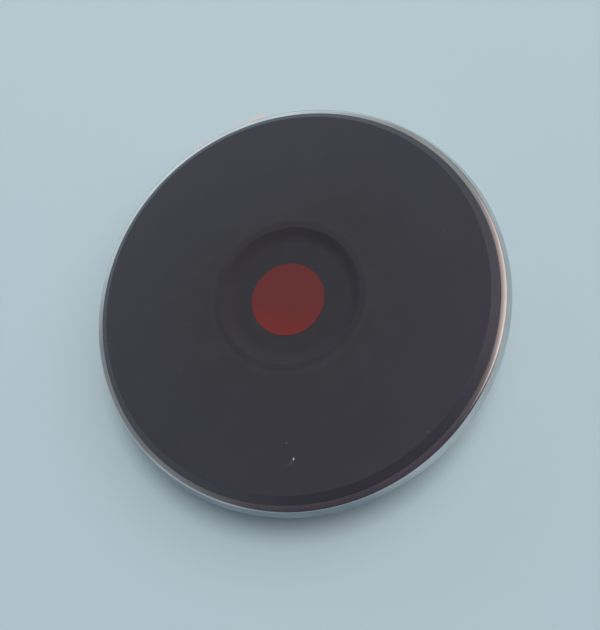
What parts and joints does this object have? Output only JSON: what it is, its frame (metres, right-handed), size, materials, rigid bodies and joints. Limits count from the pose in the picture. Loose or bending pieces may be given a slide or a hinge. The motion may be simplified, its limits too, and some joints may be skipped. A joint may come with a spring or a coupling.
{
  "type": "solid hotplate",
  "caption": "Round cast-iron solid hotplate with a recessed centre, red dot, pressed trim ring, sheet cover, threaded stud and ceramic terminal block.",
  "frame": {"origin": "on the fixing stud's axis, where its free thread starts, 0.3 mm under the cover nut", "axes": "+Z along the plate's axis, up through the cooking face; +Y towards the terminal block"},
  "size_m": [0.1888, 0.2014, 0.0469],
  "materials": {
    "cast_iron": "matt dark coating",
    "trim_steel": "bright pressed stainless",
    "dot_paint": "flat red",
    "embedding": "pressed powder",
    "resistance_wire": "drawn wire coil",
    "nickel_wire": "drawn nickel",
    "cover_steel": "aluminised sheet",
    "zinc_steel": "bright zinc plate",
    "ceramic": "unglazed steatite",
    "brass": "nickel-washed brass",
    "spring_steel": "spring sheet",
    "sleeve": "woven glass sleeve"
  },
  "bodies": {
    "root": {"block_bracket": "cover_steel", "cast_plate": "cast_iron", "clamp_washers": "zinc_steel", "cover_nut": "zinc_steel", "cover_plate": "cover_steel", "cover_washer": "zinc_steel", "cutout_bimetal": "spring_steel", "cutout_body": "ceramic", "cutout_clip": "spring_steel", "cutout_lid": "ceramic", "cutout_link": "nickel_wire", "cutout_post_left": "brass", "cutout_post_right": "brass", "earth_blade": "brass", "embedding_compound": "embedding", "feed_bush": "ceramic", "fixing_stud": "zinc_steel", "inner_coil": "resistance_wire", "jam_nut": "zinc_steel", "lead_1": "nickel_wire", "lead_2": "nickel_wire", "lead_3": "nickel_wire", "lead_4": "nickel_wire", "lead_sleeve_1": "sleeve", "lead_sleeve_2": "sleeve", "lead_sleeve_3": "sleeve", "lead_sleeve_4": "sleeve", "locating_pin": "zinc_steel", "middle_coil": "resistance_wire", "outer_coil": "resistance_wire", "red_dot": "dot_paint", "terminal_block": "ceramic", "terminal_screws": "zinc_steel", "terminal_strip_1": "brass", "terminal_strip_2": "brass", "terminal_strip_3": "brass", "terminal_strip_4": "brass", "trim_ring": "trim_steel"}
  },
  "joints": []
}
